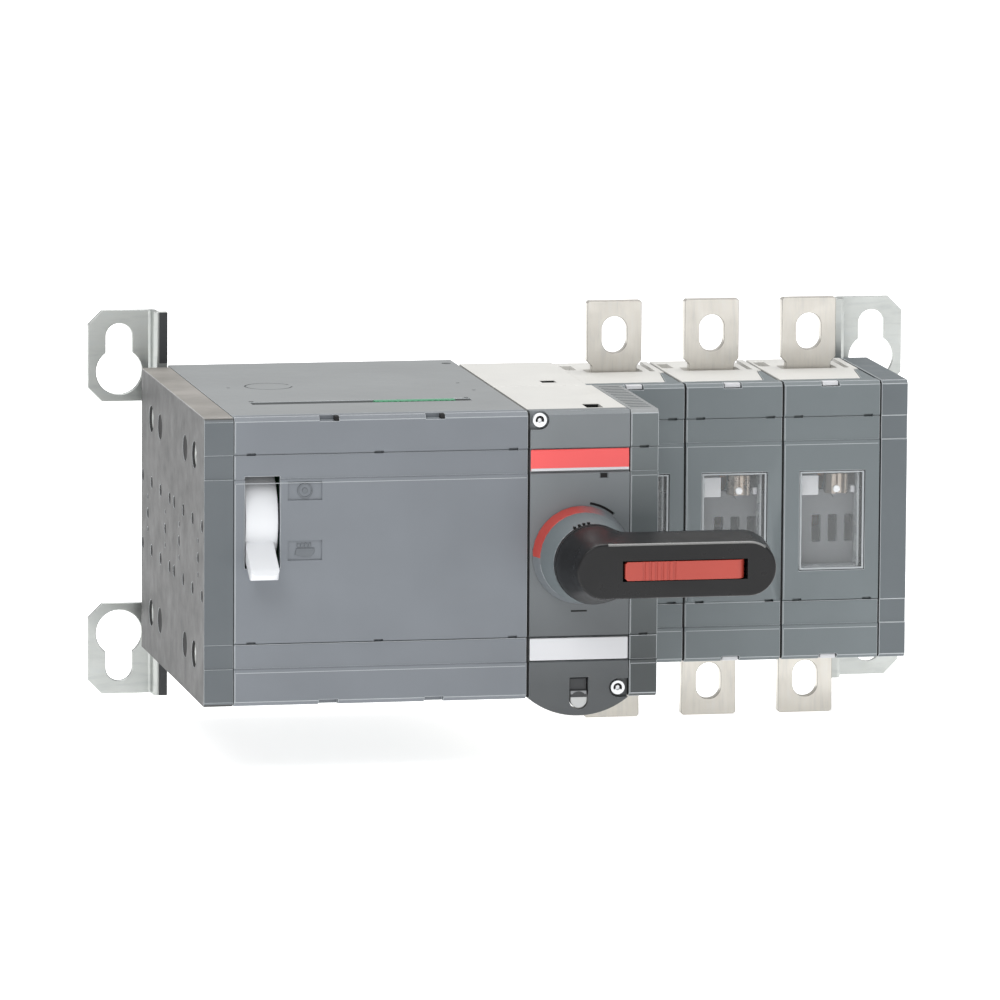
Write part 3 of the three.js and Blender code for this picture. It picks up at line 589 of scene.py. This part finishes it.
def band_cuts(x, front, dashes=()):
    """The dark line over each band of a front, with short deeper dashes in it."""
    cuts = []
    for low, high in (UPPER_GROOVE, LOWER_GROOVE):
        cuts.append(block((x[0] - 1, x[1] + 1), (front - 1, front + 0.7), (low, high)))
    for ledge in LEDGES:
        wedge = [(front - 1, ledge - 1.5), (front + 0.45, ledge + 0.1), (front - 1, ledge + 0.1)]
        cuts.append(prism(wedge, "x", (x[0] - 1, x[1] + 1)))
    for at in dashes:
        cuts.append(block((at - 1.6, at + 1.6), (front - 1, front + 1.6), (36.35, 37.3)))
        cuts.append(block((at - 1.6, at + 1.6), (front - 1, front + 1.6), (-28.3, -27.4)))
    return cuts


def painted_highlight_lines(name, x, front, half):
    """Painted highlights: pale lines along a front's left edge and under its bands."""
    near, deep = (front - 0.03, front + 0.1), (front + 0.37, front + 0.5)
    left = (x[0] + 0.32, x[0] + 0.5)
    lines = [block(left, near, z) for z in ((-half, -38.2), (-27.4, 26.7), (37.4, half))]
    lines += [block(left, deep, z) for z in ((-36.4, -28.5), (28.5, 36.3))]
    lines += [block((x[0] + 0.4, x[1] - 0.4), near, z) for z in ((26.8, 27.02), (-38.1, -37.88))]
    place(build(f"painted_highlight_lines_{name}", lines), EDGE_HIGHLIGHT_GREY, "cover_grey", width=0.02, segments=1)


def make_selector():
    """The selector's lever, with the corners of its end rounded off."""
    lever = rounded_copy("selector_lever", "selector_rounded", SELECTOR_WHITE, 0.5)
    tilt = math.radians(180 + 31.6)
    reach, pivot = 33.4, Vector((-129.5, 13.5))
    along, across = Vector((math.cos(tilt), math.sin(tilt))), Vector((-math.sin(tilt), math.cos(tilt)))
    trims = []
    for x, way in ((-115.8, 1), (-105.8, -1)):
        corner = [(-1, 1), (-1, -2.2), (0, -2.2), (0.25, -1.2), (0.8, -0.5), (2, 0), (2, 1)]
        loops = []
        for side in (-4, 4):
            places = [pivot + along * (reach + d) + across * side for _, d in corner]
            loops.append([(x + way * dx, p.x, p.y) for (dx, _), p in zip(corner, places)])
        trims.append(loops)
    combine(lever, trims)
    place(lever, SELECTOR_WHITE, "white_plastic", "selector", ["selector_lever"], 0)


def make_operator():
    face = rounded_copy("operator_front_cover", "operator_cover_face", COVER)
    panels = [block((-101.4, -89.6), (FRONT - 1, FRONT + 0.5), z) for z in ((20.9, 27.4), (0.3, 7.1))]
    combine(face, [*panels, *band_cuts((-119.8, -18.6), FRONT, (-114, -70, -23.5))])
    place(face, COVER, "cover_grey", nodes=["operator_front_cover"], width=0)
    painted_highlight_lines("operator", (-119.8, -18.6), FRONT, 48.0)

    depth = (FRONT + 0.15, FRONT + 0.7)
    middle = (-95.5, 24.1)
    marks = [arc_strip("y", (2.1, 2.6), (1, 359), depth, middle, 36), disc("y", 1.0, depth, middle, 20)]
    palm = [(-99, 2.2), (-96.4, 1.5), (-93.4, 1.5), (-92.2, 3.0), (-92.2, 4.4), (-98.4, 4.4)]
    marks.append(prism(palm, "y", depth))
    marks += [block((x, x + 0.9), depth, (4.75, 6.2)) for x in (-98.2, -96.9, -95.6, -94.3)]
    place(build("operator_pictograms", marks), MARK_GREY, "cover_grey", width=0.08, segments=1)
    gaps = [block((x - 1.5, x - 0.05), (FRONT + 0.3, FRONT + 3.2), (47.75, 49.3)) for x in (-83.8, -47.3)]
    place(build("cover_notch_shadows", gaps), SHADOW, "grip_black", width=0.05, segments=1)

    body = rounded_copy("operator_housing", "operator_case", OPERATOR_LIT_TOP_GREY)
    up = (TOP - 0.5, TOP + 1)
    marks = [arc_strip("z", (7.8, 8.4), (20, 350), up, (-94.6, -70), 48)]
    marks += [disc("z", 0.7, up, at, 12) for at in ((-109, -72), (-28, -71), (-26, -90))]
    marks += [block((x, x + 1.6), (-109.8, -107.6), up) for x in (-108.1, -33.3)]
    marks += [disc("z", 1.7, up, (-22, -19), 20)]
    combine(body, marks)
    place(body, OPERATOR_LIT_TOP_GREY, "housing_grey", nodes=["operator_housing"], width=0)
    make_selector()

    zigzag = [(-65.3, -115.6)]
    for k in range(14):
        zigzag += [(-65.3 + 2 * k + 1, -114.6), (-65.3 + 2 * k + 2, -115.6)]
    strip = prism([(-65.3, -110.9), *zigzag, (-37.3, -110.9)], "z", (49.25, 49.6))
    place(build("connector_rim", [strip]), GREEN, "connector_green", width=0.1, segments=1)


def make_mechanism():
    cover = rounded_copy("mechanism_cover", "mechanism_cover_face", MECHANISM_GREY)
    recess = arc_strip("y", (17.4, 18.3), (50, 80), (FRONT - 1, FRONT + 1.2))
    combine(cover, [recess, *band_cuts((-17.7, 16.9), FRONT)])
    place(cover, MECHANISM_GREY, "cover_grey", nodes=["mechanism_cover"], width=0)

    side = rounded_copy("mechanism_side_cover", "side_cover_ribbed", SIDE_GREY)
    ribs = [block((18.4, 25.7), (y, y + 1.1), (TOP - 0.5, TOP + 1)) for y in range(-141, -88, 4)]
    combine(side, [*ribs, *band_cuts((17.2, 26.9), FRONT, (22,))])
    # The top faces take the lighter operator grey: painted top light.
    side.data.materials.append(OPERATOR_LIT_TOP_GREY)
    for face in side.data.polygons:
        if face.normal.z > 0.5 and face.center.z > 48.8 * MM:
            face.material_index = 2
    place(side, SIDE_GREY, "housing_grey", nodes=["mechanism_side_cover"], width=0)
    painted_highlight_lines("side_cover", (17.2, 26.9), FRONT, 48.2)

    dark = [
        arc_strip("y", (17.5, 18.2), (51, 79), (FRONT + 0.5, FRONT + 1.1)),
        block((6.8, 9.1), (FRONT + 0.3, FRONT + 0.45), (26.4, 27.9)),
        block((-3.3, 2.3), (FRONT - 0.04, FRONT + 0.1), (-19.7, -19.1)),
        block((3.5, 9.1), (FRONT + 16.5, FRONT + 16.9), (47.0, 49.3)),
        block((1.4, 6.4), (-69.5, -69.1), (45.6, 49.3)),
        block((-17.4, 15.0), (-83.28, -83.02), (47.5, 49.42)),
    ]
    place(build("mechanism_shadows", dark), SHADOW, "grip_black", width=0.05, segments=1)
    line = [block((-17.4, 16.6), (FRONT - 0.05, FRONT + 0.2), (29.05, 29.95))]
    place(build("stripe_underline", line), WHITE, "white_plastic", width=0.04, segments=1)
    for which, at in (("upper", (-14.4, 46.5)), ("lower", (13.4, -46.3))):
        screw = copy_of(f"cover_screw_{which}", f"screw_head_{which}")
        groove = arc_strip("y", (0.65, 1.5), (-30, 210), (FRONT - 1, FRONT + 1.0), at)
        combine(screw, [groove])
        place(screw, BRIGHT_ZINC, "zinc_steel", nodes=[f"cover_screw_{which}"], width=0.2)
        # Painted shade: black in the screw head's groove.
        groove_shadow = arc_strip("y", (0.7, 1.45), (-28, 208), (FRONT + 0.75, FRONT + 0.95), at)
        place(build(f"screw_groove_shadow_{which}", [groove_shadow]), SHADOW, "grip_black", width=0.03, segments=1)

    clip = copy_of("locking_clip", "clip_slider")
    combine(clip, [block((-4, 3.5), (FRONT - 1, FRONT + 1.6), (-47, -42))])
    place(clip, CLIP_DARK, "white_plastic", "clip", ["locking_clip"], 0.2)
    bars = [block((-3.1, 2.5), (FRONT + 0.5, FRONT + 1.4), (-48.4, -47.1))]
    bars.append(block((-2.4, 1.6), (FRONT + 1.7, FRONT + 2.6), (-46.2, -44.6)))
    place(build("clip_bars", bars), CLIP_GREY, "housing_grey", "clip", width=0.2)
    turns = [math.radians(180 + 15 * k) for k in range(13)]
    tab = [(-0.3 + 2.8 * math.cos(a), -50.2 + 2.8 * math.sin(a)) for a in turns]
    tab = prism(tab + [(2.5, -49.3), (-3.1, -49.3)], "y", (FRONT + 0.3, FRONT + 0.5))
    place(build("clip_tab", [tab]), CLIP_PALE, "white_plastic", "clip", width=0.06)


def make_pole(n):
    middle = 33 + 35 * (n - 1)
    cover = rounded_copy(f"pole_cover_{n}", f"pole_cover_face_{n}", POLE_GREY)
    combine(cover, band_cuts((middle - 17.1, middle + 17.1), POLE_FRONT, (middle - 12, middle + 13)))
    place(cover, POLE_GREY, "cover_grey", nodes=[f"pole_cover_{n}"], width=0)
    painted_highlight_lines(f"pole_{n}", (middle - 17.1, middle + 17.1), POLE_FRONT, 47.7)

    def at(x):
        return tuple(middle + v for v in x)

    walls = build(f"window_walls_{n}", [block(at((-11.1, 10.5)), (-80.9, -75.3), (-17.2, 17.2))])
    combine(walls, [block(at((-10.4, 9.7)), (-82, -74), (-16.3, 16.4))])
    place(walls, WALL_CLEAR, "window_clear", width=0.15, segments=1)
    rim = build(f"window_rim_{n}", [block(at((-11.2, 11.7)), (-82.98, -82.82), (-17.3, 17.3))])
    combine(rim, [block(at((-10.6, 11.0)), (-84, -82), (-16.6, 16.8))])
    place(rim, WALL_CLEAR, "window_clear", width=0.05, segments=1)

    parts = [block(at((-9.7, -3.6)), (-78.6, -75.2), (8.4, 15.4))]
    parts.append(block(at((8.0, 9.5)), (-78, -75.2), (9, 11.5)))
    place(build(f"window_block_{n}", parts), WHITE, "white_plastic", width=0.3)
    bent = [
        (-0.9, -75.2), (-0.6, -77.4), (0.9, -79.0), (2.4, -79.3), (3.3, -78.1), (4.6, -78.2), (5.6, -79.4),
        (6.8, -78.9), (7.1, -75.2),
    ]
    contact = prism([(middle + x, y) for x, y in bent], "z", (8.8, 15.9))
    rivet = disc("y", 1.3, (-79.8, -78), (middle + 2.6, 10.6), 16)
    place(build(f"window_contact_{n}", [contact]), BRASSY, "contact_copper", width=0.2)
    place(build(f"window_rivet_{n}", [rivet]), BRIGHT_ZINC, "zinc_steel", width=0.2)
    # A dark grey patch under each contact.
    dark_patch = [(middle + 1.4, 8.8), (middle + 2.0, 7.3), (middle + 4.0, 7.3), (middle + 4.6, 8.8)]
    dark_patch = prism(dark_patch, "y", (-77.2, -75.2))
    place(build(f"window_dark_patch_{n}", [dark_patch]), MARK_GREY, "grip_black", width=0.15)
    for side in (1, -1):
        z = sorted((side * 47.4, side * 48.9))
        latch = block(at((-3.4, 2.2)), (-82.2, -79.6), z)
        name = f"cover_latch_{'upper' if side > 0 else 'lower'}_{n}"
        place(build(name, [latch]), WHITE, "white_plastic", width=0.2)


def make_plate_details():
    """Painted shade: dark bottoms in the left end plate's holes and dark strips on the mounting brackets'
    flanges.
    """
    deep = (-129.92, -129.75)
    holes = []
    for sign in (1, -1):
        holes += [disc("x", 4.4, deep, (y, sign * 34), 24) for y in (-108, -55)]
        for start in (-17.6, -85.2):
            holes += [disc("x", 2.1, deep, (start - 19.35 * k, sign * 12), 12) for k in range(4)]
        holes += [disc("x", 0.9, deep, (y, sign * 5.8), 8) for y in (-28.5, -66, -95.5, -135)]
    holes += [disc("x", 1.8, deep, (y, 0), 12) for y in (-28.5, -66, -95.5, -135)]
    place(build("plate_hole_shadows", holes), SHADOW, "grip_black", width=0.03, segments=1)
    # Painted shade: dark strips on the bracket flanges next to the end plate.
    bracket_shade = [block((-122.9, -120.0), (-9.4, -8.75), z) for z in ((50.2, 68.2), (-68.2, -50.2))]
    place(build("bracket_painted_shade", bracket_shade), CLIP_DARK, "grip_black", width=0.1)


def make_seam_shadows():
    """Painted shadow: dark strips just inside the gaps between the modules."""
    deep = [(x0, x1, FRONT, TOP) for x0, x1 in ((-120.02, -119.88), (-18.45, -17.85), (16.98, 17.12))]
    gaps = [(x + 0.15, x + 0.85) for x in (50.0, 85.0)] + [(120.15, 120.65)]
    shallow = [(x0, x1, POLE_FRONT, POLE_TOP) for x0, x1 in gaps]
    for k, (x0, x1, front, half) in enumerate(deep + shallow):
        back = -84.5 if x0 > 16 and front == FRONT else -22
        strip = build(f"seam_{k}", [block((x0, x1), (front + 0.6, back), (-half + 0.6, half - 0.6))])
        combine(strip, [block((x0 - 1, x1 + 1), (front + 3, back + 1), (-half + 3, half - 3))])
        place(strip, SHADOW, "grip_black", width=0.03, segments=1)


make_handle()
make_operator()
make_mechanism()
for pole in (1, 2, 3):
    make_pole(pole)
make_seam_shadows()
make_plate_details()

# ---- Stage: floor and lights -----------------------------------------------------------------

FLOOR_HALF, FLOOR_BELOW, FLOOR_GLOW = 12.0, 0.0005, 0.62
KEY_POWER, TOP_POWER, WORLD_STRENGTH = 36, 44, 0.5
LIGHT_TARGET = (0, -0.1, 0)


def area_light(name, at, size, power):
    data = bpy.data.lights.new(name, "AREA")
    data.shape = "RECTANGLE"
    data.size, data.size_y = size
    data.energy = power
    light = bpy.data.objects.new(name, data)
    bpy.context.scene.collection.objects.link(light)
    light.location = at
    light.rotation_euler = (Vector(LIGHT_TARGET) - Vector(at)).to_track_quat("-Z", "Y").to_euler()


def make_floor():
    half = FLOOR_HALF
    data = bpy.data.meshes.new("floor")
    z = CAD_BOX[0].z - FLOOR_BELOW
    corners = [(-half, -half, z), (half, -half, z), (half, half, z), (-half, half, z)]
    data.from_pydata(corners, [], [(0, 1, 2, 3)])
    floor = bpy.data.objects.new("floor", data)
    bpy.context.scene.collection.objects.link(floor)
    s = Shader("floor_pale").set(Roughness=0.9)
    s.set(Emission_Color=(1.0, 1.0, 1.0, 1.0), Emission_Strength=FLOOR_GLOW)
    s.link(s.ramp(s.noise(3.0), [(0.3, linear(248, 248, 248)), (0.7, linear(250, 250, 250))]),
           s.bsdf.inputs["Base Color"])
    data.materials.append(s.material)


make_floor()
area_light("key", (-1.2, -1.8, 2.2), (1.6, 1.6), KEY_POWER)
area_light("top", (0.3, 0.4, 2.2), (2.4, 1.6), TOP_POWER)

world = bpy.data.worlds.new("studio")
world.use_nodes = True
world.node_tree.nodes["Background"].inputs["Color"].default_value = (1.0, 1.0, 1.0, 1.0)
world.node_tree.nodes["Background"].inputs["Strength"].default_value = WORLD_STRENGTH
bpy.context.scene.world = world
bpy.context.scene.view_settings.view_transform = "Standard"
